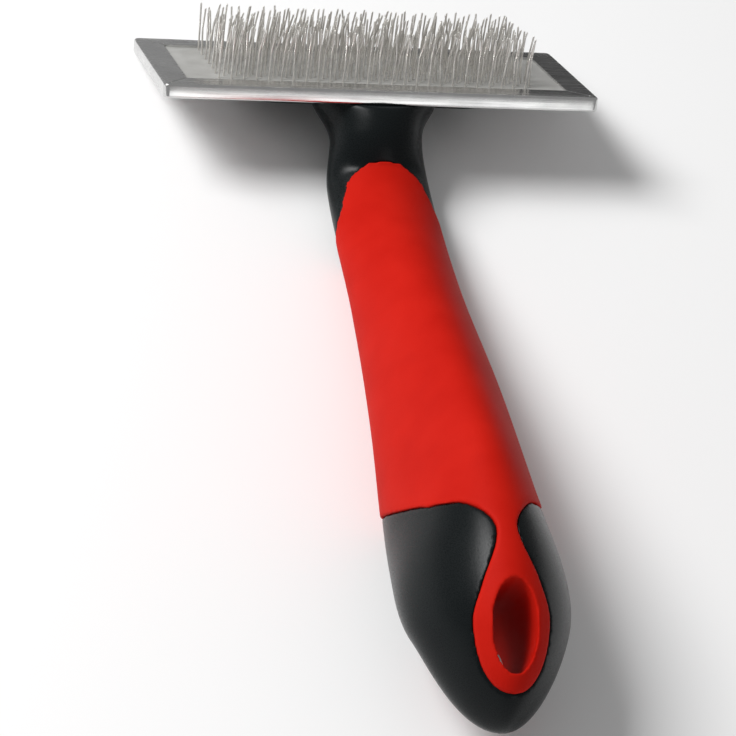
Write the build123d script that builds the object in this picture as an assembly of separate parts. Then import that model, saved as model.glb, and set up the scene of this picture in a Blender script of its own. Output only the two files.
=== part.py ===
"""Slicker brush: a pressed steel head full of fine bent wire pins on a two-shot moulded handle.

Every piece is drawn in the head frame and moved to the resting frame just before it is written.
Head frame: origin at the middle of the tray's top face, +X along the tray, -Y towards the handle's
butt, +Z the way the pins point. Resting frame: the brush lies on its back, pins up, touching the
table with the tray's far bottom edge and the back of the butt, so +Z is up and +Y runs from the
butt to the head. Millimetres.
"""
from build123d import *
from math import cos, sin, radians, tan
import os

# ---- driving dimensions: head ------------------------------------------------------------------
TRAY_LENGTH = 95.0
TRAY_WIDTH = 40.0
TRAY_HEIGHT = 3.2
SHEET = 0.5                  # plated steel sheet of the tray
FLANGE_WIDTH = 5.7           # how far the folded rim covers the pad
CORNER_RADIUS = 1.2
EDGE_RADIUS = 0.45           # of the folds at the tray's top and bottom
WINDOW_CORNER = 0.4
BOARD_THICKNESS = 0.6
FABRIC_THICKNESS = 0.5
PAD_GAP = 0.2                # side clearance of the layers inside the tray

# ---- driving dimensions: wire pins -------------------------------------------------------------
WIRE = 0.4
PIN_HEIGHT = 10.2            # tips above the tray's top face
KNEE_HEIGHT = 5.4
KNEE_LEAN = 17.0             # degrees, the tips lean towards the handle
KNEE_RADIUS = 1.5
CROWN_RADIUS = 0.3
LEG_PITCH = 2.7
ROW_PITCH = 2.0
ROWS = 13
STAPLES_PER_ROW = 13
PIN_HOLE = 0.6

# ---- driving dimensions: handle ----------------------------------------------------------------
# Stations along the handle: fraction of the spine, distance towards the butt, depth below the
# tray's top face, half width, half thickness, and how much the front is narrower than the back.
STATIONS = [
    (0.00, 8.5, -0.9, 15.2, 9.0, 0.15),
    (0.06, 12.4, 4.6, 13.5, 8.4, 0.15),
    (0.14, 16.5, 10.7, 10.1, 8.8, 0.15),
    (0.22, 22.6, 20.5, 11.2, 6.4, 0.17),
    (0.40, 54.7, 34.2, 11.2, 10.5, 0.25),
    (0.60, 87.7, 46.6, 12.9, 14.8, 0.32),
    (0.78, 114.9, 59.9, 14.5, 20.0, 0.35),
    (0.90, 138.3, 70.1, 16.3, 16.7, 0.35),
    (1.00, 151.7, 87.9, 15.2, 16.7, 0.35),
]
SECTIONS = [0, 0.05, 0.10, 0.15, 0.20, 0.26, 0.33, 0.42, 0.52, 0.62, 0.72, 0.80,
            0.855, 0.895, 0.93, 0.955, 0.975, 0.99]
SECTION_POINTS = 16
ROUNDING_START = 0.83        # the butt closes from here to the tip
ROUNDING_SHAPE = (2.2, 0.55)  # exponents of the closing curve, 2 and 0.5 would be an ellipse
MOUNT_FLANGE = (54.0, 22.0, 3.4)
MOUNT_FLANGE_Y = 2.0         # middle of the mounting flange, under the tray
MOUNT_FLANGE_CORNER, MOUNT_FLANGE_FILLET = 6.0, 1.5
GRIP_SKIN = 1.8              # soft overmould thickness let into the core
GRIP_PROUD = 0.15            # how far the soft grip stands above the hard core
CORE_BACK = 0.15             # how far the hard core stands below the nominal outline

# ---- driving dimensions: soft grip outline and hanging hole -------------------------------------
# Where the grip begins: (y, z) points seen from the side, from the front of the neck to its back.
GRIP_TOP = [(-40, -10), (-30, -12.4), (-25.9, -13.5), (-25, -15.2), (-26.3, -18), (-29.2, -20.8),
            (-33, -25), (-36.5, -36), (-40, -60)]
GRIP_END = (0.0, -125.8, -52.7)       # a point on the cut across the grip's lower end
GRIP_END_SLOPE = 27.3                 # degrees, how much that cut falls towards the back
HOLE_AXIS = (0.0, -0.75, 0.66)        # leaves the hole's mouth on the pin side
MOUTH = (0.0, -138.6, -40.0)          # where the drawing of stem, ring and hole has its origin
FLARE_TOP, FLARE_HALF, FLARE_END = 5.0, 11.0, 0.9
FLARE_BEND = (5.6, 3.4)               # half width, and distance below the origin
STEM_HALF, STEM_WAIST = 2.0, 9.5
RING_HALF, RING_WIDEST, RING_END = 7.3, 26.5, 39.9
RING_SHOULDER = (5.35, 19.6)          # half width, and distance below the origin
HOLE_HALF, HOLE_TOP, HOLE_WIDEST, HOLE_END = 4.3, 19.8, 28.0, 36.8
LINER = 1.2                           # wall of the soft sleeve that lines the hole
FRONT_DEPTH, FRONT_HEIGHT = 24.0, 20.0  # reach of the drawing below and above its origin

# ---- driving dimensions: screws ----------------------------------------------------------------
SCREW_X, SCREW_Y = 20.0, 6.0          # from the middle of the mounting flange
SCREW_RADIUS, SCREW_LENGTH = 1.25, 3.4
SCREW_HEAD_RADIUS, SCREW_HEAD = 3.0, 0.5
SCREW_CLEARANCE = 0.05                # round the shank
SCREW_HEAD_GAP = 0.4                  # round the head, in the backing board
SCREW_SLOT = (3.0, 0.7)               # length and width of each stroke of the cross recess
PILOT_MARGIN = 0.5                    # material left under the pilot holes

# ---- driving dimensions: resting frame ---------------------------------------------------------
REST_TILT = 30.79
REST_Y, REST_Z = 79.32, 12.83

BIG = 200.0                  # larger than the whole brush
THROUGH = 1.0                # how far a cutting tool passes the face that it opens
BOARD_TOP = -TRAY_HEIGHT + SHEET + BOARD_THICKNESS
FABRIC_BOTTOM = BOARD_TOP + WIRE
FABRIC_TOP = FABRIC_BOTTOM + FABRIC_THICKNESS
RUBBER_TOP = -SHEET
ROWS_Y = [(i - (ROWS - 1) / 2) * ROW_PITCH for i in range(ROWS)]


def block(length, width, low, high, corner=0.0, y=0.0):
    """A flat plate with rounded corners between two heights."""
    outline = RectangleRounded(length, width, corner) if corner else Rectangle(length, width)
    return Pos(0, y, low) * extrude(outline, high - low)


def leg_places(row):
    """X of the left leg of each staple in a row; odd rows are shifted by half a pitch."""
    shift = LEG_PITCH / 2 * (row % 2) - LEG_PITCH / 4
    first = -(STAPLES_PER_ROW - 0.5) * LEG_PITCH + shift
    return [first + 2 * LEG_PITCH * i for i in range(STAPLES_PER_ROW)]


# ---- head --------------------------------------------------------------------------------------
def screw_places():
    return [(x, MOUNT_FLANGE_Y + y) for x in (-SCREW_X, SCREW_X) for y in (-SCREW_Y, SCREW_Y)]


def holes(places, radius, low, high):
    return [Pos(x, y, low) * extrude(Circle(radius), high - low) for x, y in places]


def make_tray():
    shell = block(TRAY_LENGTH, TRAY_WIDTH, -TRAY_HEIGHT, 0, CORNER_RADIUS)
    rims = shell.faces().sort_by(Axis.Z)[0].edges() + shell.faces().sort_by(Axis.Z)[-1].edges()
    shell = fillet(rims, EDGE_RADIUS)
    inner = block(TRAY_LENGTH - 2 * SHEET, TRAY_WIDTH - 2 * SHEET,
                  -TRAY_HEIGHT + SHEET, -SHEET, CORNER_RADIUS - SHEET)
    window = block(TRAY_LENGTH - 2 * FLANGE_WIDTH, TRAY_WIDTH - 2 * FLANGE_WIDTH,
                   -TRAY_HEIGHT + SHEET, THROUGH, WINDOW_CORNER)
    tray = shell - inner - window
    return tray - holes(screw_places(), SCREW_RADIUS + SCREW_CLEARANCE,
                        -TRAY_HEIGHT - THROUGH, 0)


def layer(low, high):
    return block(TRAY_LENGTH - 2 * (SHEET + PAD_GAP), TRAY_WIDTH - 2 * (SHEET + PAD_GAP), low, high)


def make_board():
    board = layer(-TRAY_HEIGHT + SHEET, BOARD_TOP)
    return board - holes(screw_places(), SCREW_HEAD_RADIUS + SCREW_HEAD_GAP, -TRAY_HEIGHT, 0)


def pierced(low, high):
    """A layer of the pad with one hole for each pin."""
    legs = [(x + side, y) for row, y in enumerate(ROWS_Y)
            for x in leg_places(row) for side in (0, LEG_PITCH)]
    return layer(low, high) - holes(legs, PIN_HOLE / 2, low - THROUGH, high + THROUGH)


def make_staple():
    """One wire staple: a crown behind the fabric and two legs bent at the knee."""
    crown = BOARD_TOP + WIRE / 2
    reach = (PIN_HEIGHT - KNEE_HEIGHT) * tan(radians(KNEE_LEAN))
    path = FilletPolyline(
        (0, -reach, PIN_HEIGHT), (0, 0, KNEE_HEIGHT), (0, 0, crown),
        (LEG_PITCH, 0, crown), (LEG_PITCH, 0, KNEE_HEIGHT), (LEG_PITCH, -reach, PIN_HEIGHT),
        radius=(KNEE_RADIUS, CROWN_RADIUS, CROWN_RADIUS, KNEE_RADIUS))
    start = Plane(origin=path @ 0, z_dir=path % 0)
    return sweep(start * Circle(WIRE / 2), path=path)


def make_screws():
    bottom = -TRAY_HEIGHT + SHEET
    shank = Pos(0, 0, bottom - SCREW_LENGTH) * extrude(Circle(SCREW_RADIUS), SCREW_LENGTH)
    head = Pos(0, 0, bottom) * extrude(Circle(SCREW_HEAD_RADIUS), SCREW_HEAD)
    cross = Rectangle(*SCREW_SLOT) + Rectangle(*reversed(SCREW_SLOT))
    recess = Pos(0, 0, bottom + SCREW_HEAD / 2) * extrude(cross, THROUGH)
    screw = shank + head - recess
    return [Pos(x, y, 0) * screw for x, y in screw_places()]


# ---- handle ------------------------------------------------------------------------------------
def spine(u):
    """Interpolated station values and their slopes at fraction u (cubic Hermite)."""
    knots = [s[0] for s in STATIONS]
    i = max(k for k in range(len(knots) - 1) if knots[k] <= u)

    def slope(k, c):
        a, b = max(k - 1, 0), min(k + 1, len(knots) - 1)
        return (STATIONS[b][c] - STATIONS[a][c]) / (knots[b] - knots[a])

    h = knots[i + 1] - knots[i]
    t = (u - knots[i]) / h
    values, slopes = [], []
    for c in range(1, 6):
        p, q, m, n = STATIONS[i][c], STATIONS[i + 1][c], slope(i, c) * h, slope(i + 1, c) * h
        values.append((2 * t**3 - 3 * t**2 + 1) * p + (t**3 - 2 * t**2 + t) * m
                      + (3 * t**2 - 2 * t**3) * q + (t**3 - t**2) * n)
        slopes.append((6 * t**2 - 6 * t) * (p - q) + (3 * t**2 - 4 * t + 1) * m
                      + (3 * t**2 - 2 * t) * n)
    return values, slopes


def handle_section(u, grow):
    """The egg-shaped section across the spine, grown outwards by grow."""
    (reach, depth, half_width, half_depth, taper), (along, down, *_) = spine(u)
    close = max(0.0, (u - ROUNDING_START) / (1 - ROUNDING_START))
    cap = (1 - close ** ROUNDING_SHAPE[0]) ** ROUNDING_SHAPE[1]
    a, b = (half_width + grow) * cap, (half_depth + grow) * cap
    angles = [radians(360 * k / SECTION_POINTS) for k in range(SECTION_POINTS)]
    points = [(a * cos(t) * (1 - taper * sin(t)), b * sin(t)) for t in angles]
    plane = Plane(origin=(0, -reach, -depth), x_dir=(1, 0, 0), z_dir=(0, -along, -down))
    return plane * make_face(Spline(*points, periodic=True))


def handle_body(grow):
    (reach, depth, *_), (along, down, *_) = spine(1.0)
    length = (along**2 + down**2) ** 0.5
    tip = Vertex(0, -reach - along / length * grow, -depth - down / length * grow)
    return loft([handle_section(u, grow) for u in SECTIONS] + [tip])


def hole_plane():
    return Plane(origin=MOUTH, x_dir=(1, 0, 0), z_dir=HOLE_AXIS)


def rounded_end(half, widest, end):
    """The quarter ellipse between the widest place of an outline and its end, above or below."""
    start = -90 if end > widest else 0
    return EllipticalCenterArc((0, -widest), half, abs(end - widest), start_angle=start, arc_size=90)


def hole_outline(grow):
    """The oval of the hanging hole: two half ellipses that meet at its widest place."""
    half = HOLE_HALF + grow
    side = rounded_end(half, HOLE_WIDEST, HOLE_TOP - grow) + rounded_end(half, HOLE_WIDEST, HOLE_END + grow)
    return make_face(side + mirror(side, Plane.YZ))


def grip_front():
    """The flare, the stem and the ring round the hole, seen along the hole."""
    flare_start, waist = (FLARE_HALF, -FLARE_END), (STEM_HALF, -STEM_WAIST)
    side = Line((FLARE_HALF, FLARE_TOP), flare_start)
    side = side + Spline(flare_start, (FLARE_BEND[0], -FLARE_BEND[1]), waist, tangents=[(-1, 0), (0, -1)])
    side = side + Spline(waist, (RING_SHOULDER[0], -RING_SHOULDER[1]), (RING_HALF, -RING_WIDEST),
                         tangents=[(0, -1), (0, -1)])
    side = side + rounded_end(RING_HALF, RING_WIDEST, RING_END)
    top = Line((FLARE_HALF, FLARE_TOP), (-FLARE_HALF, FLARE_TOP))
    return make_face(side + mirror(side, Plane.YZ) + top)


def grip_zone():
    """Everything that the soft grip may fill: a sleeve, and the stem and ring on the front."""
    (first_y, first_z), (last_y, last_z) = GRIP_TOP[0], GRIP_TOP[-1]
    rest = Polyline((last_y, last_z), (last_y, -BIG), (-BIG, -BIG), (-BIG, first_z), (first_y, first_z))
    sleeve = Plane.YZ.offset(-BIG / 2) * extrude(make_face(Spline(*GRIP_TOP) + rest), BIG)
    slope = radians(GRIP_END_SLOPE)
    end = Plane(origin=GRIP_END, x_dir=(1, 0, 0), z_dir=(0, sin(slope), cos(slope)))
    below = end * Pos(0, 0, -BIG / 2) * Box(BIG, BIG, BIG)
    front = hole_plane() * Pos(0, 0, -FRONT_DEPTH) * extrude(grip_front(), FRONT_DEPTH + FRONT_HEIGHT)
    return sleeve - below + front


def hanging_hole(grow):
    return hole_plane() * Pos(0, 0, -BIG) * extrude(hole_outline(grow), 2 * BIG)


def make_grip_shell():
    """The soft skin: between the grown outline and the recess in the core, inside its zone."""
    return (handle_body(GRIP_PROUD) & grip_zone()) - handle_body(-GRIP_SKIN)


def make_grip(shell):
    """The skin and the sleeve that runs through the hanging hole."""
    return shell + (hanging_hole(LINER) & handle_body(GRIP_PROUD)) - hanging_hole(0)


def make_core(shell):
    x, y, thickness = MOUNT_FLANGE
    underside = -TRAY_HEIGHT
    flange = block(x, y, underside - thickness, underside, MOUNT_FLANGE_CORNER, MOUNT_FLANGE_Y)
    flange = fillet(flange.faces().sort_by(Axis.Z)[0].edges(), MOUNT_FLANGE_FILLET)
    above = block(BIG, BIG, underside, BIG)
    body = handle_body(-CORE_BACK) - above + flange
    pilots = holes(screw_places(), SCREW_RADIUS + SCREW_CLEARANCE,
                   underside - thickness + PILOT_MARGIN, 0)
    return body - shell - hanging_hole(LINER) - pilots


# ---- assembly ----------------------------------------------------------------------------------
def build():
    nodes = {
        "head_tray": make_tray(),
        "backing_board": make_board(),
        "fabric_backing": pierced(FABRIC_BOTTOM, FABRIC_TOP),
        "rubber_facing": pierced(FABRIC_TOP, RUBBER_TOP),
        "tray_screws": make_screws(),
    }
    staple = make_staple()
    for row, y in enumerate(ROWS_Y):
        nodes[f"pin_row_{row + 1:02d}"] = [Pos(x, y, 0) * staple for x in leg_places(row)]
    shell = make_grip_shell()
    nodes["handle_core"] = make_core(shell)
    nodes["soft_grip"] = make_grip(shell)
    return nodes


def solids_of(shape):
    return [s for part in shape for s in part.solids()] if isinstance(shape, list) else shape.solids()


def main():
    os.makedirs("parts", exist_ok=True)
    rest = Pos(0, REST_Y, REST_Z) * Rot(-REST_TILT, 0, 0)
    for name, shape in build().items():
        solids = [rest * solid for solid in solids_of(shape)]
        export_step(Compound(children=solids), f"parts/{name}.step")


main()
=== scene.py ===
"""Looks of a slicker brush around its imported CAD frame.

The brush lies on its back, pins up. Metres, in the CAD frame: +Y from the butt to the head, +Z up.
The head is drawn in its own frame, in millimetres, as the CAD is: origin at the middle of the tray's
top face, +X along the tray, -Y towards the butt, +Z the way the pins point.
"""
import random
from math import cos, exp, hypot, pi, radians, sin, sqrt, tan

import bmesh
import bpy
from mathutils import Matrix, Vector, noise


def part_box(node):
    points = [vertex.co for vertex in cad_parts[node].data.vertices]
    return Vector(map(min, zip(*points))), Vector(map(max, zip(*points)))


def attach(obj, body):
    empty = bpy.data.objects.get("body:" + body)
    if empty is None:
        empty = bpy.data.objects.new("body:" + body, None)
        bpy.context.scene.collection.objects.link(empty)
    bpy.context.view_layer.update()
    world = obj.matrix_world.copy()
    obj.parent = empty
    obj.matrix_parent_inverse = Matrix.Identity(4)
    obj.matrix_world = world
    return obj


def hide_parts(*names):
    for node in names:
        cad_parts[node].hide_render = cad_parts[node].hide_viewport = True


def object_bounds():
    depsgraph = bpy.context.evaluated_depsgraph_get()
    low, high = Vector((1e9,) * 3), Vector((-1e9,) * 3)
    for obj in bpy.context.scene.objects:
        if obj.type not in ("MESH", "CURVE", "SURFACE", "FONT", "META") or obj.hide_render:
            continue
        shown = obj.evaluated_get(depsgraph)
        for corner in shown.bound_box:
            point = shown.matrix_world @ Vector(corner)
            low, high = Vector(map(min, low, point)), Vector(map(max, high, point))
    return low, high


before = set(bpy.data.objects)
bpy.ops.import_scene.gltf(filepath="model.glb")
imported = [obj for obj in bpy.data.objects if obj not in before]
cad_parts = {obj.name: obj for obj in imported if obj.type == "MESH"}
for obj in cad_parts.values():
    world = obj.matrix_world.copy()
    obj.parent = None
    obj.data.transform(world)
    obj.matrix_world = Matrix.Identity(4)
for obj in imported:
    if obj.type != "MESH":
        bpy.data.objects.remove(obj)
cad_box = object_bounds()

MM = 0.001

# ---- the head's own frame ------------------------------------------------------------------------
REST_TILT = radians(30.79)           # the head leans back by this when the brush lies on its back
TRAY_HEIGHT = 3.2
HEAD_UP = Vector((0, sin(REST_TILT), cos(REST_TILT)))
tray_low, tray_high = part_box("head_tray")
head_origin = (tray_low + tray_high) / 2 + HEAD_UP * TRAY_HEIGHT / 2 * MM
HEAD = Matrix.Translation(head_origin) @ Matrix.Rotation(-REST_TILT, 4, "X") @ Matrix.Scale(MM, 4)

# ---- sizes of the head, in millimetres -----------------------------------------------------------
TRAY_LENGTH, TRAY_WIDTH = 95.0, 40.0
SHEET = 0.5
FLANGE_WIDTH = 5.7
CORNER_RADIUS = 1.2
FOLD_RADIUS = 0.55
BOARD, PLY = 0.6, 0.5                # thickness of the pressed board and the woven ply
BOARD_TOP = -TRAY_HEIGHT + SHEET + BOARD
LAYER_GAP = 0.2
WIRE = 0.4
PIN_HEIGHT, KNEE_HEIGHT, KNEE_LEAN = 10.2, 5.4, radians(17.0)
CROWN_RADIUS = 0.3
LEG_PITCH, ROW_PITCH = 2.7, 2.0
ROWS, STAPLES_PER_ROW = 13, 13
RUBBER_BOTTOM = BOARD_TOP + WIRE + PLY

# ---- sizes of the handle, in millimetres ---------------------------------------------------------
# Stations along the handle: fraction of the spine, distance towards the butt, depth below the
# tray's top face, half width, half thickness, and how much the front is narrower than the back.
STATIONS = [
    (0.00, 8.5, -0.9, 15.2, 9.0, 0.15),
    (0.06, 12.4, 4.6, 13.5, 8.4, 0.15),
    (0.14, 16.5, 10.7, 10.1, 8.8, 0.15),
    (0.22, 22.6, 20.5, 11.2, 6.4, 0.17),
    (0.40, 54.7, 34.2, 11.2, 10.5, 0.25),
    (0.60, 87.7, 46.6, 12.9, 14.8, 0.32),
    (0.78, 114.9, 59.9, 14.5, 20.0, 0.35),
    (0.90, 138.3, 70.1, 16.3, 16.7, 0.35),
    (1.00, 151.7, 87.9, 15.2, 16.7, 0.35),
]
ROUNDING_START = 0.83                # the butt closes from here to the tip
ROUNDING_SHAPE = (2.2, 0.55)         # exponents of the closing curve, 2 and 0.5 would be an ellipse
MOUNT_FLANGE = (54.0, 22.0, 3.4)     # length, width and thickness of the plate under the tray
MOUNT_FLANGE_Y, MOUNT_FLANGE_CORNER, MOUNT_FLANGE_FILLET = 2.0, 6.0, 1.5
GRIP_SKIN, GRIP_PROUD, CORE_BACK = 1.8, 0.15, 0.15
# Where the grip begins: (y, z) points seen from the side, from the front of the neck to its back.
GRIP_TOP = [(-40, -10), (-30, -12.4), (-25.9, -13.5), (-25, -15.2), (-26.3, -18), (-29.2, -20.8),
            (-33, -25), (-36.5, -36), (-40, -60)]
GRIP_END = (-125.8, -52.7)           # (y, z) of a point on the cut across the grip's lower end
GRIP_END_SLOPE = radians(27.3)
HOLE_AXIS = Vector((0.0, -0.75, 0.66)).normalized()
MOUTH = Vector((0.0, -138.6, -40.0))
FLARE_TOP, FLARE_HALF, FLARE_END, FLARE_BEND = 5.0, 11.0, 0.9, (5.6, 3.4)
STEM_HALF, STEM_WAIST = 2.0, 9.5
RING_HALF, RING_WIDEST, RING_END, RING_SHOULDER = 7.3, 26.5, 39.9, (5.35, 19.6)
HOLE_HALF, HOLE_TOP, HOLE_WIDEST, HOLE_END = 4.3, 19.8, 28.0, 36.8
LINER = 1.2
FRONT_DEPTH, FRONT_HEIGHT = 24.0, 20.0  # reach of the drawing below and above its origin

# ---- camera, in the head's frame -----------------------------------------------------------------
CAMERA_TURN, CAMERA_RISE, CAMERA_ROLL = radians(14.78), radians(18.41), radians(5.56)
CAMERA_DISTANCE = 759.6
CAMERA_AIM = (0.793, -65.22)         # where the view's middle is, along its own right and up
CAMERA_LENS = 171.2
CAMERA_CLIP = (0.01, 20)


def add_camera():
    """Looks at the head from above the handle, a little from the left and slightly rolled."""
    flat = cos(CAMERA_RISE)
    away = Vector((-sin(CAMERA_TURN) * flat, -cos(CAMERA_TURN) * flat, sin(CAMERA_RISE)))
    level = Vector((cos(CAMERA_TURN), -sin(CAMERA_TURN), 0))
    upright = away.cross(level)
    right = cos(CAMERA_ROLL) * level + sin(CAMERA_ROLL) * upright
    up = cos(CAMERA_ROLL) * upright - sin(CAMERA_ROLL) * level
    place = away * CAMERA_DISTANCE + right * CAMERA_AIM[0] + up * CAMERA_AIM[1]
    turn = HEAD.to_3x3().normalized()
    axes = Matrix((turn @ right, turn @ up, turn @ away)).transposed()
    camera = bpy.data.objects.new("camera", bpy.data.cameras.new("camera"))
    camera.matrix_world = Matrix.Translation(HEAD @ place) @ axes.to_4x4()
    camera.data.lens = CAMERA_LENS
    camera.data.clip_start, camera.data.clip_end = CAMERA_CLIP
    bpy.context.scene.collection.objects.link(camera)
    bpy.context.scene.camera = camera


# ---- materials -----------------------------------------------------------------------------------
def add_node(tree, kind, **settings):
    """A new shader node; settings are its properties, or inputs when they name a socket."""
    node = tree.nodes.new(kind)
    for key, value in settings.items():
        socket = node.inputs.get(key.replace("_", " "))
        if socket is not None:
            socket.default_value = value
        else:
            setattr(node, key, value)
    return node


def placed(tree, stretch=(1, 1, 1)):
    """Object coordinates, stretched along each axis."""
    source = add_node(tree, "ShaderNodeTexCoord")
    stretched = add_node(tree, "ShaderNodeMapping", Scale=stretch)
    tree.links.new(source.outputs["Object"], stretched.inputs["Vector"])
    return stretched.outputs["Vector"]


def speckle(tree, where, scale, detail=3.0, roughness=0.5):
    """Noise of a given number of spots to the metre."""
    node = add_node(tree, "ShaderNodeTexNoise", Scale=scale, Detail=detail, Roughness=roughness)
    tree.links.new(where, node.inputs["Vector"])
    return node.outputs["Fac"]


def spread(tree, factor, low, high, start=0.3, end=0.7):
    """Maps a noise value from its usual range to low..high."""
    node = add_node(tree, "ShaderNodeMapRange", From_Min=start, From_Max=end, To_Min=low, To_Max=high)
    tree.links.new(factor, node.inputs["Value"])
    return node.outputs["Result"]


def blended(tree, factor, first, second):
    """A colour between two colours."""
    node = add_node(tree, "ShaderNodeMix", data_type="RGBA")
    colours = [socket for socket in node.inputs if socket.type == "RGBA"]
    for socket, colour in zip(colours, (first, second)):
        if isinstance(colour, tuple):
            socket.default_value = (*colour, 1)
        else:
            tree.links.new(colour, socket)
    tree.links.new(factor, node.inputs["Factor"])
    return next(socket for socket in node.outputs if socket.type == "RGBA")


def bumped(tree, shader, height, distance):
    """Turns a noise into fine relief of the given depth in metres."""
    node = add_node(tree, "ShaderNodeBump", Distance=distance, Strength=1.0)
    tree.links.new(height, node.inputs["Height"])
    tree.links.new(node.outputs["Normal"], shader.inputs["Normal"])


def surface(name, metallic=0.0, **constants):
    """A material, its node tree and its shader."""
    made = bpy.data.materials.new(name)
    made.use_nodes = True
    tree = made.node_tree
    shader = tree.nodes["Principled BSDF"]
    shader.inputs["Metallic"].default_value = metallic
    for key, value in constants.items():
        shader.inputs[key.replace("_", " ")].default_value = value
    return made, tree, shader


def plated_steel():
    """Bright plated sheet with faint rolling marks along the tray and a little tarnish."""
    made, tree, shader = surface("plated_steel", metallic=1.0)
    marks = speckle(tree, placed(tree, (60, 1800, 1800)), 1.0, 2.0)
    stains = speckle(tree, placed(tree), 130.0, 3.0)
    tree.links.new(blended(tree, spread(tree, stains, 0, 1), (0.56, 0.56, 0.56), (0.70, 0.70, 0.69)),
                   shader.inputs["Base Color"])
    tree.links.new(spread(tree, marks, 0.16, 0.30), shader.inputs["Roughness"])
    bumped(tree, shader, marks, 0.00001)
    return made


def pin_wire():
    """Drawn steel wire, slightly uneven from pin to pin."""
    made, tree, shader = surface("pin_wire", metallic=0.8)
    patches = speckle(tree, placed(tree), 450.0, 2.0)
    lines = speckle(tree, placed(tree, (6000, 6000, 400)), 1.0, 2.0)
    tree.links.new(blended(tree, spread(tree, patches, 0, 1), (0.64, 0.62, 0.59), (0.86, 0.84, 0.80)),
                   shader.inputs["Base Color"])
    tree.links.new(spread(tree, lines, 0.25, 0.42), shader.inputs["Roughness"])
    bumped(tree, shader, lines, 0.000008)
    return made


def pad_rubber():
    """Matt grey-beige rubber with a fine crepe and faint smudges."""
    made, tree, shader = surface("pad_rubber")
    smudges = speckle(tree, placed(tree), 160.0, 3.0)
    crepe = speckle(tree, placed(tree), 3200.0, 4.0, 0.7)
    tree.links.new(blended(tree, spread(tree, smudges, 0, 1), (0.325, 0.322, 0.308), (0.405, 0.402, 0.388)),
                   shader.inputs["Base Color"])
    tree.links.new(spread(tree, crepe, 0.62, 0.85), shader.inputs["Roughness"])
    bumped(tree, shader, crepe, 0.00006)
    return made


def black_plastic():
    """Hard black plastic with a spark-eroded satin texture."""
    made, tree, shader = surface("black_plastic", Specular_IOR_Level=0.12)
    cloud = speckle(tree, placed(tree), 60.0, 2.0)
    grain = speckle(tree, placed(tree), 4200.0, 3.0, 0.6)
    tree.links.new(blended(tree, spread(tree, cloud, 0, 1), (0.0035, 0.005, 0.0055), (0.0065, 0.0085, 0.009)),
                   shader.inputs["Base Color"])
    tree.links.new(spread(tree, grain, 0.22, 0.34), shader.inputs["Roughness"])
    bumped(tree, shader, grain, 0.00002)
    return made


def red_rubber():
    """Soft-touch red overmould: satin, with a very fine grain and slight mottling."""
    made, tree, shader = surface("red_rubber", Specular_IOR_Level=0.05)
    mottle = speckle(tree, placed(tree), 90.0, 3.0)
    grain = speckle(tree, placed(tree), 5200.0, 3.0, 0.6)
    tree.links.new(blended(tree, spread(tree, mottle, 0, 1), (0.45, 0.0075, 0.0030), (0.51, 0.011, 0.005)),
                   shader.inputs["Base Color"])
    tree.links.new(spread(tree, grain, 0.52, 0.68), shader.inputs["Roughness"])
    bumped(tree, shader, grain, 0.00002)
    return made


def hidden_fibre(name, dark, light, scale):
    """The plain layers inside the tray: pressed board and cotton ply."""
    made, tree, shader = surface(name)
    fibres = speckle(tree, placed(tree), scale, 4.0, 0.7)
    tree.links.new(blended(tree, spread(tree, fibres, 0, 1), dark, light), shader.inputs["Base Color"])
    tree.links.new(spread(tree, fibres, 0.75, 0.95), shader.inputs["Roughness"])
    bumped(tree, shader, fibres, 0.00008)
    return made


def screw_steel():
    """Zinc-plated steel, a little worn."""
    made, tree, shader = surface("screw_steel", metallic=1.0)
    scuffs = speckle(tree, placed(tree), 1500.0, 3.0)
    tree.links.new(blended(tree, spread(tree, scuffs, 0, 1), (0.48, 0.48, 0.47), (0.62, 0.62, 0.60)),
                   shader.inputs["Base Color"])
    tree.links.new(spread(tree, scuffs, 0.25, 0.45), shader.inputs["Roughness"])
    bumped(tree, shader, scuffs, 0.00002)
    return made


def wear(piece, made):
    """Gives a piece or CAD node one material and nothing else."""
    piece.data.materials.clear()
    piece.data.materials.append(made)


# ---- mesh helpers --------------------------------------------------------------------------------
def finish_piece(name, vertices, faces, made, node):
    """A smooth mesh piece that rides on the brush and stands for its CAD node."""
    mesh = bpy.data.meshes.new(name)
    mesh.from_pydata(vertices, [], faces)
    mesh.update()
    mesh.polygons.foreach_set("use_smooth", [True] * len(mesh.polygons))
    piece = bpy.data.objects.new(name, mesh)
    bpy.context.scene.collection.objects.link(piece)
    wear(piece, made)
    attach(piece, "root")
    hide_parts(node)
    return piece


def apply_modifiers(piece):
    """Turns the modified shape into the piece's own mesh."""
    view = bpy.context.evaluated_depsgraph_get()
    made = bpy.data.meshes.new_from_object(piece.evaluated_get(view))
    piece.modifiers.clear()
    piece.data = made


# ---- wire pins -----------------------------------------------------------------------------------
def leg_places(row):
    """X of the left leg of each staple in a row; odd rows are shifted by half a pitch."""
    shift = LEG_PITCH / 2 * (row % 2) - LEG_PITCH / 4
    first = -(STAPLES_PER_ROW - 0.5) * LEG_PITCH + shift
    return [first + 2 * LEG_PITCH * i for i in range(STAPLES_PER_ROW)]


def row_y(row):
    """Y of a row of pins."""
    return (row - (ROWS - 1) / 2) * ROW_PITCH


KNEE_STEPS = 5
KNEE_LENGTH = 1.1                    # along the wire, over which the knee bends
SIDES = 8
JITTER_LEAN = 0.045                  # radians, the lower part of a pin
JITTER_BEND = 0.085                  # radians, the upper part
JITTER_LENGTH = (-0.25, 0.1)         # how far a tip ends below or above its height
TIP_REACH, TIP_ROUNDING = 0.6, 0.55  # a wire's last ring: how far out, and how large, in radii
ACROSS_START = Vector((1, 0.13, 0.31))  # any direction that no wire runs in
PIN_SEED = 7


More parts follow.
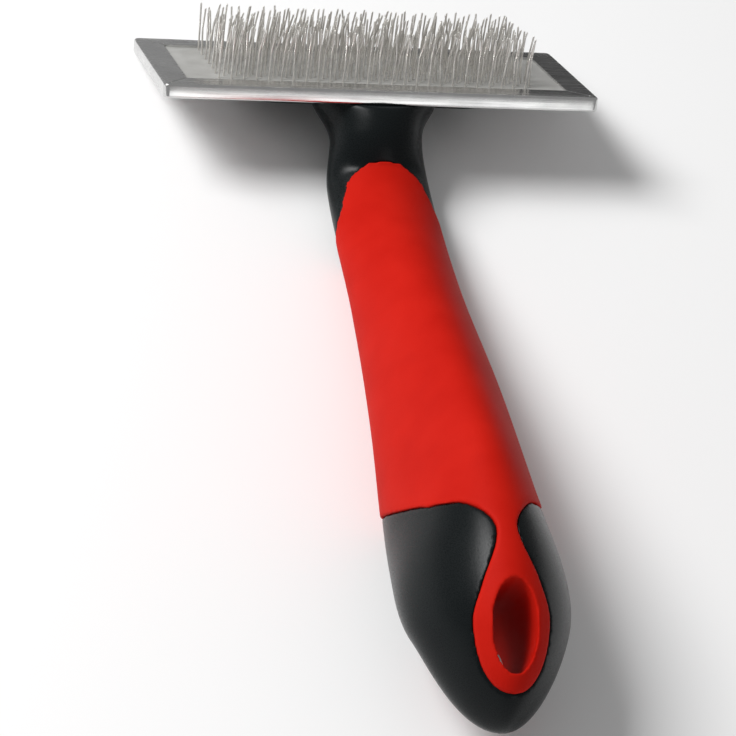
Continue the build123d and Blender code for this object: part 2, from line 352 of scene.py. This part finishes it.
def leg_path(x, y, chance):
    """Points up one leg of a staple, from its crown to its tip."""
    crown = BOARD_TOP + WIRE / 2
    side, back = chance.gauss(0, JITTER_LEAN), chance.gauss(0, JITTER_LEAN)
    lean_side, lean_back = side + chance.gauss(0, JITTER_BEND), KNEE_LEAN + chance.gauss(0, JITTER_BEND)
    place = Vector((x, y, RUBBER_BOTTOM))
    points = [Vector((x, y, crown + CROWN_RADIUS)), place.copy()]
    lower = KNEE_HEIGHT - RUBBER_BOTTOM - KNEE_LENGTH / 2
    place += Vector((tan(side), -tan(back), 1)) * lower
    points.append(place.copy())
    for step in range(KNEE_STEPS):
        share = (step + 0.5) / KNEE_STEPS
        turn = Vector((tan(side + (lean_side - side) * share), -tan(back + (lean_back - back) * share), 1))
        place += turn.normalized() * KNEE_LENGTH / KNEE_STEPS
        points.append(place.copy())
    upper = Vector((tan(lean_side), -tan(lean_back), 1))
    rest = PIN_HEIGHT - place.z + chance.uniform(*JITTER_LENGTH)
    points.append(place + upper * rest)
    return points


def tube(path, radius, sides, vertices, faces):
    """Adds a round wire along a path, with rounded ends."""
    first_end = path[0] + (path[0] - path[1]).normalized() * radius * TIP_REACH
    last_end = path[-1] + (path[-1] - path[-2]).normalized() * radius * TIP_REACH
    spine = [first_end, *path, last_end]
    ring_radius = [radius] * len(spine)
    ring_radius[0] = ring_radius[-1] = radius * TIP_ROUNDING
    across = ACROSS_START
    start = len(vertices)
    for index, place in enumerate(spine):
        before, after = spine[max(index - 1, 0)], spine[min(index + 1, len(spine) - 1)]
        along = (after - before).normalized()
        across = (across - along * along.dot(across)).normalized()
        other = along.cross(across)
        for side in range(sides):
            angle = 2 * pi * side / sides
            vertices.append(place + (across * cos(angle) + other * sin(angle)) * ring_radius[index])
    for ring in range(len(spine) - 1):
        for side in range(sides):
            a, b = start + ring * sides + side, start + ring * sides + (side + 1) % sides
            faces.append((a, b, b + sides, a + sides))
    faces.append(tuple(reversed(range(start, start + sides))))
    last = start + (len(spine) - 1) * sides
    faces.append(tuple(range(last, last + sides)))


def add_pin_rows(made):
    """One piece for each row of wire staples, every leg leaning a little its own way."""
    chance = random.Random(PIN_SEED)
    crown = BOARD_TOP + WIRE / 2
    for row in range(ROWS):
        vertices, faces = [], []
        for x in leg_places(row):
            left = leg_path(x, row_y(row), chance)
            right = leg_path(x + LEG_PITCH, row_y(row), chance)
            bend = CROWN_RADIUS
            turn_left = [Vector((x + bend * (1 - cos(a)), row_y(row), crown + bend * (1 - sin(a))))
                         for a in (0.0, pi / 6, pi / 3, pi / 2)]
            turn_right = [Vector((2 * x + LEG_PITCH - p.x, p.y, p.z)) for p in turn_left]
            path = left[::-1] + turn_left[1:] + turn_right[:0:-1] + right
            tube([HEAD @ p for p in path], WIRE / 2 * MM, SIDES, vertices, faces)
        name = f"{row + 1:02d}"
        finish_piece(f"wire_pins_{name}", vertices, faces, made, f"pin_row_{name}")


# ---- pad -----------------------------------------------------------------------------------------
PAD_CELL = 0.35
PAD_CROWN = 0.22                     # how far the pad swells in the tray's window
CROWN_EDGE = 3.0                     # over which the swelling rises from the window's edge
PAD_BELOW = 0.01                     # between the pad's edge and the flanges
PAD_WAVE, PAD_WAVE_RATE = 0.03, 0.5  # height of the pad's slow waves, and how close together they are
DIMPLE_DEPTH, DIMPLE_RADIUS = 0.16, 0.5


def add_rubber_facing(made):
    """The pad's top layer: slightly swollen in the window, and drawn down round each pin."""
    half_x, half_y = TRAY_LENGTH / 2 - SHEET - LAYER_GAP, TRAY_WIDTH / 2 - SHEET - LAYER_GAP
    open_x, open_y = TRAY_LENGTH / 2 - FLANGE_WIDTH, TRAY_WIDTH / 2 - FLANGE_WIDTH
    columns, lines = round(2 * half_x / PAD_CELL), round(2 * half_y / PAD_CELL)
    legs = {}
    for row in range(ROWS):
        for x in leg_places(row):
            for leg in (x, x + LEG_PITCH):
                legs.setdefault((round(leg), round(row_y(row))), []).append((leg, row_y(row)))

    def height(x, y):
        inside = (max(0.0, min(1.0, (open_x - abs(x)) / CROWN_EDGE))
                  * max(0.0, min(1.0, (open_y - abs(y)) / CROWN_EDGE)))
        top = -SHEET - PAD_BELOW + PAD_CROWN * inside * inside * (3 - 2 * inside)
        for cell_x in range(round(x) - 1, round(x) + 2):
            for cell_y in range(round(y) - 1, round(y) + 2):
                for leg_x, leg_y in legs.get((cell_x, cell_y), ()):
                    away = hypot(x - leg_x, y - leg_y) / DIMPLE_RADIUS
                    top -= DIMPLE_DEPTH * exp(-away * away)
        return top + PAD_WAVE * inside * noise.noise(Vector((x, y, 0)) * PAD_WAVE_RATE)

    grid = [(-half_x + 2 * half_x * i / columns, -half_y + 2 * half_y * j / lines)
            for j in range(lines + 1) for i in range(columns + 1)]
    vertices = [HEAD @ Vector((x, y, height(x, y))) for x, y in grid]
    wide = columns + 1
    faces = [(j * wide + i, j * wide + i + 1, (j + 1) * wide + i + 1, (j + 1) * wide + i)
             for j in range(lines) for i in range(columns)]
    rim = ([i for i in range(columns)] + [j * wide + columns for j in range(lines)]
           + [lines * wide + i for i in range(columns, 0, -1)] + [j * wide for j in range(lines, 0, -1)])
    base = len(vertices)
    for index in rim:
        x, y = grid[index]
        vertices.append(HEAD @ Vector((x, y, RUBBER_BOTTOM)))
    count = len(rim)
    faces += [(rim[(k + 1) % count], rim[k], base + k, base + (k + 1) % count) for k in range(count)]
    faces.append(tuple(reversed(range(base, base + count))))
    finish_piece("pad_facing", vertices, faces, made, "rubber_facing")


# ---- tray ----------------------------------------------------------------------------------------
FOLD_STEPS = 5
CORNER_STEPS = 6
FLANGE_STEPS = 10
SIDE_STEPS = 60
MITRE_GAP = 0.16
MITRE_STEPS = 2                      # flange steps in which the gap opens, from nothing at the corner
DENT, DENT_RATE = 0.035, (0.11, 0.25)  # how wavy the folded sheet is, and how often along X and Y
DENT_PLACE = 3.0                     # which slice of the noise the waves come from
WAVY_ABOVE = -0.2                    # only the flanges are wavy
SHARP = 0.001                        # the least radius of a corner
EDGE_BEVEL, EDGE_SEGMENTS, EDGE_ANGLE = 0.08, 2, radians(50)


def ring_point(inset, corner, side, share):
    """A point of the rounded rectangle that lies inset from the tray's outline.

    Side 0 is the near long side, and they go round anticlockwise; share runs from 0 to 1 along it.
    """
    length, width = TRAY_LENGTH / 2 - inset, TRAY_WIDTH / 2 - inset
    short_length, short_width = length - corner, width - corner
    x0, y0, x1, y1 = [(-short_length, -width, short_length, -width),
                      (length, -short_width, length, short_width),
                      (short_length, width, -short_length, width),
                      (-length, short_width, -length, -short_width)][side]
    return x0 + (x1 - x0) * share, y0 + (y1 - y0) * share


def corner_point(inset, corner, side, share):
    """A point on the rounded corner at the end of a side."""
    length, width = TRAY_LENGTH / 2 - inset - corner, TRAY_WIDTH / 2 - inset - corner
    x, y = [(length, -width), (length, width), (-length, width), (-length, -width)][side]
    angle = -pi / 2 + pi / 2 * side + pi / 2 * share
    return x + corner * cos(angle), y + corner * sin(angle)


def fold_profile():
    """Inset and height from the bottom plate's edge, up the wall, to where the flanges begin."""
    half = pi / 2 / FOLD_STEPS
    bottom = [(FOLD_RADIUS * (1 - sin(half * k)), -TRAY_HEIGHT + FOLD_RADIUS * (1 - cos(half * k)))
              for k in range(FOLD_STEPS + 1)]
    top = [(FOLD_RADIUS * (1 - cos(half * k)), -FOLD_RADIUS + FOLD_RADIUS * sin(half * k))
           for k in range(FOLD_STEPS + 1)]
    return bottom + top


def add_tray(made):
    """The sheet-metal tray: a pan whose four flanges fold in over the pad and meet in mitres."""
    points, faces, known = [], [], {}

    def vertex(x, y, z):
        """The number of the vertex at a place, made when it is first asked for."""
        key = (round(x, 4), round(y, 4), round(z, 4))
        if key not in known:
            known[key] = len(points)
            wave = DENT * noise.noise(Vector((x * DENT_RATE[0], y * DENT_RATE[1], DENT_PLACE)))
            points.append(Vector((x, y, z + (wave if z > WAVY_ABOVE else 0))))
        return known[key]

    def ring(inset, z):
        """The closed ring at one inset: each side's points and its corner's."""
        corner = max(CORNER_RADIUS - inset, SHARP)
        loop = []
        for side in range(4):
            loop += [vertex(*ring_point(inset, corner, side, k / SIDE_STEPS), z)
                     for k in range(SIDE_STEPS)]
            loop += [vertex(*corner_point(inset, corner, side, k / CORNER_STEPS), z)
                     for k in range(CORNER_STEPS)]
        return loop

    def join(first, second):
        """Faces between two rings, leaving out the ones that have shrunk to a line."""
        for k in range(len(first)):
            n = (k + 1) % len(first)
            face = []
            for index in (first[k], first[n], second[n], second[k]):
                if index not in face:
                    face.append(index)
            if len(face) > 2:
                faces.append(tuple(face))

    rings = [ring(inset, z) for inset, z in fold_profile()] + [ring(CORNER_RADIUS, 0.0)]
    for first, second in zip(rings, rings[1:]):
        join(first, second)
    faces.append(tuple(reversed(list(dict.fromkeys(rings[0])))))
    for side in range(4):
        rows = []
        for step in range(FLANGE_STEPS + 1):
            inset = CORNER_RADIUS + (FLANGE_WIDTH - CORNER_RADIUS) * step / FLANGE_STEPS
            gap = MITRE_GAP / 2 * min(1.0, step / MITRE_STEPS) * sqrt(2)
            (x0, y0), (x1, y1) = ring_point(inset, 0, side, 0), ring_point(inset, 0, side, 1)
            along = Vector((x1 - x0, y1 - y0)).normalized()
            row = []
            for k in range(SIDE_STEPS + 1):
                share = k / SIDE_STEPS
                x, y = x0 + (x1 - x0) * share, y0 + (y1 - y0) * share
                shift = gap * (1 - 2 * share)
                row.append(vertex(x + along.x * shift, y + along.y * shift, 0.0))
            rows.append(row)
        for first, second in zip(rows, rows[1:]):
            for k in range(SIDE_STEPS):
                faces.append((first[k], first[k + 1], second[k + 1], second[k]))
    tray = finish_piece("folded_tray", [HEAD @ p for p in points], faces, made,
                        "head_tray")
    thick = tray.modifiers.new("sheet", "SOLIDIFY")
    thick.thickness, thick.offset = SHEET * MM, -1
    soften = tray.modifiers.new("edges", "BEVEL")
    soften.width, soften.segments, soften.angle_limit = EDGE_BEVEL * MM, EDGE_SEGMENTS, EDGE_ANGLE
    apply_modifiers(tray)


# ---- handle --------------------------------------------------------------------------------------
BODY_RINGS, BODY_SIDES = 260, 108
TIP_CROWDING = 1.7                   # rings crowd together towards the butt's tip
CURVE_STEPS = 10
FILLET_STEPS = 6
NUDGE = 1e-4                         # a short way along the spine, to find its direction
FAR = 60.0                           # beyond the handle on every side
ON_MIDDLE = 1e-6                     # nearer than this, a point is on the middle line
VOXEL = 0.36
SOFTENING, SOFTENING_FACTOR = 9, 0.5  # rounds of smoothing that round the moulded edges


def hermite(start, end, leave, arrive, t):
    """A cubic between two values with given slopes at its ends."""
    return ((2 * t**3 - 3 * t**2 + 1) * start + (t**3 - 2 * t**2 + t) * leave
            + (3 * t**2 - 2 * t**3) * end + (t**3 - t**2) * arrive)


def station(u):
    """Interpolated station values at a fraction of the spine, and the spine's direction there."""
    knots = [s[0] for s in STATIONS]
    i = max(k for k in range(len(knots) - 1) if knots[k] <= u)

    def slope(k, column):
        a, b = max(k - 1, 0), min(k + 1, len(knots) - 1)
        return (STATIONS[b][column] - STATIONS[a][column]) / (knots[b] - knots[a])

    def value(column, t):
        step = knots[i + 1] - knots[i]
        return hermite(STATIONS[i][column], STATIONS[i + 1][column],
                       slope(i, column) * step, slope(i + 1, column) * step, t)

    t = (u - knots[i]) / (knots[i + 1] - knots[i])
    ahead, behind = min(t + NUDGE, 1.0), max(t - NUDGE, 0.0)
    along = Vector((0, value(1, behind) - value(1, ahead), value(2, behind) - value(2, ahead)))
    return [value(column, t) for column in range(1, 6)], along.normalized()


def solid(name, vertices, faces):
    """A closed scratch solid in the head's frame, its faces turned outwards."""
    mesh = bpy.data.meshes.new(name)
    mesh.from_pydata(vertices, [], faces)
    work = bmesh.new()
    work.from_mesh(mesh)
    bmesh.ops.recalc_face_normals(work, faces=work.faces)
    work.to_mesh(mesh)
    work.free()
    made = bpy.data.objects.new(name, mesh)
    bpy.context.scene.collection.objects.link(made)
    return made


def prism(outline, lift, low, high):
    """An outline of 2-D points carried from one height to another; lift places (x, y, height)."""
    count = len(outline)
    vertices = [lift(x, y, height) for height in (low, high) for x, y in outline]
    sides = [(k, (k + 1) % count, (k + 1) % count + count, k + count) for k in range(count)]
    return solid("prism", vertices, sides + [tuple(range(count)), tuple(range(count, 2 * count))])


def combine(piece, operation, other):
    """Changes a solid by another one, which is used up."""
    step = piece.modifiers.new("combine", "BOOLEAN")
    step.operation, step.object, step.solver = operation, other, "EXACT"
    apply_modifiers(piece)
    bpy.data.objects.remove(other)
    return piece


def handle_body(grow):
    """The whole handle's outer shape, egg-shaped across the spine, grown outwards by grow."""
    vertices, faces = [], []
    for ring in range(BODY_RINGS):
        u = 1 - (1 - ring / BODY_RINGS) ** TIP_CROWDING
        (reach, depth, half_width, half_depth, taper), along = station(u)
        close = max(0.0, (u - ROUNDING_START) / (1 - ROUNDING_START))
        cap = (1 - close ** ROUNDING_SHAPE[0]) ** ROUNDING_SHAPE[1]
        front = along.cross(Vector((1, 0, 0)))
        for side in range(BODY_SIDES):
            angle = 2 * pi * side / BODY_SIDES
            across = (half_width + grow) * cap * cos(angle) * (1 - taper * sin(angle))
            place = Vector((across, -reach, -depth))
            vertices.append(place + front * (half_depth + grow) * cap * sin(angle))
    for ring in range(BODY_RINGS - 1):
        for side in range(BODY_SIDES):
            a, b = ring * BODY_SIDES + side, ring * BODY_SIDES + (side + 1) % BODY_SIDES
            faces.append((a, b, b + BODY_SIDES, a + BODY_SIDES))
    (reach, depth, *_), along = station(1.0)
    vertices.append(Vector((0, -reach, -depth)) + along * grow)
    last = (BODY_RINGS - 1) * BODY_SIDES
    faces += [(last + side, last + (side + 1) % BODY_SIDES, len(vertices) - 1)
              for side in range(BODY_SIDES)]
    faces.append(tuple(range(BODY_SIDES)))
    return solid("body", vertices, faces)


def smooth_line(points, leave=None, arrive=None):
    """Points on a smooth curve through the given ones; leave and arrive are its end directions."""
    given = [Vector(p) for p in points]
    slopes = [(given[min(i + 1, len(given) - 1)] - given[max(i - 1, 0)]) / 2
              for i in range(len(given))]
    if leave:
        slopes[0] = Vector(leave).normalized() * (given[1] - given[0]).length
    if arrive:
        slopes[-1] = Vector(arrive).normalized() * (given[-1] - given[-2]).length
    line = [hermite(a, b, m, n, k / CURVE_STEPS)
            for a, b, m, n in zip(given, given[1:], slopes, slopes[1:]) for k in range(CURVE_STEPS)]
    return line + [given[-1]]


def rounded_end(half, widest, end):
    """The quarter ellipse from the widest place of an outline to its end, above or below."""
    count = 2 * CURVE_STEPS
    angles = [pi / 2 * k / count for k in range(1, count + 1)]
    return [Vector((half * cos(angle), -widest - (end - widest) * sin(angle))) for angle in angles]


def both_sides(line):
    """A closed outline from its right half; points on the middle line aren't doubled."""
    mirrored = [Vector((-p.x, p.y)) for p in reversed(line) if abs(p.x) > ON_MIDDLE]
    return line + mirrored


def hole_outline(grow):
    """The oval of the hanging hole: two half ellipses that meet at its widest place."""
    half = HOLE_HALF + grow
    upper = rounded_end(half, HOLE_WIDEST, HOLE_TOP - grow)[::-1]
    lower = rounded_end(half, HOLE_WIDEST, HOLE_END + grow)
    return both_sides(upper + [Vector((half, -HOLE_WIDEST))] + lower)


def grip_front():
    """The flare, the stem and the ring round the hole, seen along the hole."""
    waist, down = (STEM_HALF, -STEM_WAIST), (0, -1)
    bend, shoulder = (FLARE_BEND[0], -FLARE_BEND[1]), (RING_SHOULDER[0], -RING_SHOULDER[1])
    flare = smooth_line([(FLARE_HALF, -FLARE_END), bend, waist], (-1, 0), down)
    ring = smooth_line([waist, shoulder, (RING_HALF, -RING_WIDEST)], down, down)
    return both_sides([Vector((FLARE_HALF, FLARE_TOP))] + flare + ring[1:]
                      + rounded_end(RING_HALF, RING_WIDEST, RING_END))


def along_hole(x, y, height):
    """Places a point of the hole's drawing plane at a height along the hole."""
    sideways = Vector((1, 0, 0))
    return MOUTH + sideways * x + HOLE_AXIS.cross(sideways) * y + HOLE_AXIS * height


def grip_zone():
    """Everything that the soft grip may fill: a sleeve, and the stem and ring on the front."""
    back_y = GRIP_TOP[-1][0]
    fall = tan(GRIP_END_SLOPE)
    back = (back_y, GRIP_END[1] - (back_y - GRIP_END[0]) * fall)
    front = (GRIP_END[0] - (GRIP_TOP[0][1] - GRIP_END[1]) / fall, GRIP_TOP[0][1])
    outline = smooth_line(GRIP_TOP) + [Vector(back), Vector(front)]
    sleeve = prism(outline, lambda y, z, x: Vector((x, y, z)), -FAR, FAR)
    front_drawing = prism(grip_front(), along_hole, -FRONT_DEPTH, FRONT_HEIGHT)
    return combine(sleeve, "UNION", front_drawing)


def hole_solid(grow):
    """The hanging hole as a solid, grown outwards by grow."""
    return prism(hole_outline(grow), along_hole, -FAR, FAR)


def mount_flange():
    """The plate that is screwed to the tray's back, its lower edge rounded."""
    length, width, thickness = MOUNT_FLANGE
    vertices, faces, rings = [], [], []
    turns = [pi / 2 * k / FILLET_STEPS for k in range(FILLET_STEPS + 1)]
    levels = [(0.0, 0.0)] + [(MOUNT_FLANGE_FILLET * (1 - cos(turn)),
                              thickness - MOUNT_FLANGE_FILLET * (1 - sin(turn))) for turn in turns]
    for inset, drop in levels:
        start = len(vertices)
        for corner in range(4):
            side_x, side_y = ((1, -1), (1, 1), (-1, 1), (-1, -1))[corner]
            radius = MOUNT_FLANGE_CORNER - inset
            middle = Vector((side_x * (length / 2 - MOUNT_FLANGE_CORNER),
                             side_y * (width / 2 - MOUNT_FLANGE_CORNER) + MOUNT_FLANGE_Y,
                             -TRAY_HEIGHT - drop))
            for k in range(CURVE_STEPS + 1):
                angle = pi / 2 * (corner - 1) + pi / 2 * k / CURVE_STEPS
                vertices.append(middle + Vector((cos(angle), sin(angle), 0)) * radius)
        rings.append(range(start, len(vertices)))
    count = len(rings[0])
    for first, second in zip(rings, rings[1:]):
        faces += [(first[k], first[(k + 1) % count], second[(k + 1) % count], second[k])
                  for k in range(count)]
    return solid("flange", vertices, faces + [tuple(rings[0]), tuple(rings[-1])])


def moulded(piece, name, made, node):
    """Turns a sharp scratch solid into the finished moulding, with every edge softly rounded."""
    remesh = piece.modifiers.new("remesh", "REMESH")
    remesh.mode, remesh.voxel_size, remesh.use_smooth_shade = "VOXEL", VOXEL, True
    soften = piece.modifiers.new("soften", "SMOOTH")
    soften.factor, soften.iterations = SOFTENING_FACTOR, SOFTENING
    apply_modifiers(piece)
    piece.data.transform(HEAD)
    piece.name = piece.data.name = name
    wear(piece, made)
    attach(piece, "root")
    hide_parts(node)
    return piece


def add_handle(hard, soft):
    """The black core and the red overmould that is let into it."""
    grip = combine(handle_body(GRIP_PROUD), "INTERSECT", grip_zone())
    grip = combine(grip, "DIFFERENCE", handle_body(-GRIP_SKIN))
    liner = combine(hole_solid(LINER), "INTERSECT", handle_body(GRIP_PROUD))
    grip = combine(combine(grip, "UNION", liner), "DIFFERENCE", hole_solid(0))
    above = prism([(-FAR, -FAR), (FAR, -FAR), (FAR, FAR), (-FAR, FAR)],
                  lambda x, y, z: Vector((x, y, z)), -TRAY_HEIGHT, FAR)
    core = combine(handle_body(-CORE_BACK), "DIFFERENCE", above)
    core = combine(core, "UNION", mount_flange())
    recess = combine(grip_zone(), "DIFFERENCE", handle_body(-GRIP_SKIN))
    core = combine(combine(core, "DIFFERENCE", recess), "DIFFERENCE", hole_solid(LINER))
    moulded(core, "core_moulding", hard, "handle_core")
    moulded(grip, "grip_moulding", soft, "soft_grip")


# ---- floor and light, in metres ------------------------------------------------------------------
FLOOR_REACH = 3.0
FLOOR_COLOUR, FLOOR_ROUGHNESS = (0.92, 0.92, 0.92, 1), 0.9
LIT_PLACE = (0, 0, 0.02)             # what the lamps point at
KEY_PLACE, KEY_SIZE, KEY_POWER = (-0.77, 0.28, 0.87), (0.5, 0.5), 14.5
PANEL_PLACE, PANEL_SIZE, PANEL_POWER = (0.29, -1.14, 0.26), (0.6, 0.3), 0.8
SKY_STRENGTH = 0.32
FLAG_GAP, FLAG_REACH, FLAG_HALF, FLAG_LIFT = 0.004, 0.6, 0.5, 0.0006
FLAG_LEFT, FLAG_RIGHT = 0.34, 0.08   # how bright the card is at its two ends


def add_sheet(name, left, near, right, far, height):
    """A flat staging rectangle."""
    mesh = bpy.data.meshes.new(name)
    corners = [(left, near, height), (right, near, height), (right, far, height), (left, far, height)]
    mesh.from_pydata(corners, [], [(0, 1, 2, 3)])
    sheet = bpy.data.objects.new(name, mesh)
    bpy.context.scene.collection.objects.link(sheet)
    return sheet


def add_floor():
    """The pale floor that the brush lies on."""
    floor = add_sheet("floor", -FLOOR_REACH, -FLOOR_REACH, FLOOR_REACH, FLOOR_REACH, 0)
    made, tree, shader = surface("floor", Roughness=FLOOR_ROUGHNESS)
    shader.inputs["Base Color"].default_value = FLOOR_COLOUR
    wear(floor, made)


def add_area_light(name, place, size, power):
    """A rectangular lamp that points at the brush."""
    light = bpy.data.lights.new(name, "AREA")
    light.shape, light.energy = "RECTANGLE", power
    light.size, light.size_y = size
    lamp = bpy.data.objects.new(name, light)
    lamp.location = place
    lamp.rotation_euler = (Vector(LIT_PLACE) - Vector(place)).to_track_quat("-Z", "Y").to_euler()
    bpy.context.scene.collection.objects.link(lamp)


def add_flag():
    """A dark card lying behind the head, which only the bright metal sees."""
    flag = add_sheet("flag", -FLAG_HALF, cad_box[1].y + FLAG_GAP, FLAG_HALF, FLAG_REACH, FLAG_LIFT)
    made = bpy.data.materials.new("flag")
    made.use_nodes = True
    tree = made.node_tree
    tree.nodes.clear()
    glow, output = add_node(tree, "ShaderNodeEmission"), add_node(tree, "ShaderNodeOutputMaterial")
    split = add_node(tree, "ShaderNodeSeparateXYZ")
    fade = add_node(tree, "ShaderNodeMapRange", From_Min=cad_box[0].x, From_Max=cad_box[1].x,
                    To_Min=FLAG_LEFT, To_Max=FLAG_RIGHT)
    tree.links.new(add_node(tree, "ShaderNodeTexCoord").outputs["Object"], split.inputs["Vector"])
    tree.links.new(split.outputs["X"], fade.inputs["Value"])
    tree.links.new(fade.outputs["Result"], glow.inputs["Strength"])
    tree.links.new(glow.outputs["Emission"], output.inputs["Surface"])
    wear(flag, made)
    flag.visible_camera = flag.visible_diffuse = flag.visible_shadow = False
    flag.visible_transmission = flag.visible_volume_scatter = False


def add_light():
    """A soft studio: a dim room, a lamp high on the left and a low panel in front."""
    world = bpy.data.worlds.new("studio")
    bpy.context.scene.world = world
    world.use_nodes = True
    sky = world.node_tree.nodes["Background"]
    sky.inputs["Color"].default_value = (1, 1, 1, 1)
    sky.inputs["Strength"].default_value = SKY_STRENGTH
    add_area_light("key", KEY_PLACE, KEY_SIZE, KEY_POWER)
    add_area_light("front_panel", PANEL_PLACE, PANEL_SIZE, PANEL_POWER)
    bpy.context.scene.view_settings.view_transform = "Standard"


# ---- the scene -----------------------------------------------------------------------------------
add_camera()
add_floor()
add_light()
add_flag()
add_tray(plated_steel())
add_rubber_facing(pad_rubber())
add_pin_rows(pin_wire())
add_handle(black_plastic(), red_rubber())
board = hidden_fibre("fibreboard", (0.30, 0.22, 0.14), (0.42, 0.33, 0.22), 900.0)
wear(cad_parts["backing_board"], board)
ply = hidden_fibre("woven_backing", (0.48, 0.46, 0.40), (0.62, 0.60, 0.54), 1500.0)
wear(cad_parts["fabric_backing"], ply)
wear(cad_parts["tray_screws"], screw_steel())
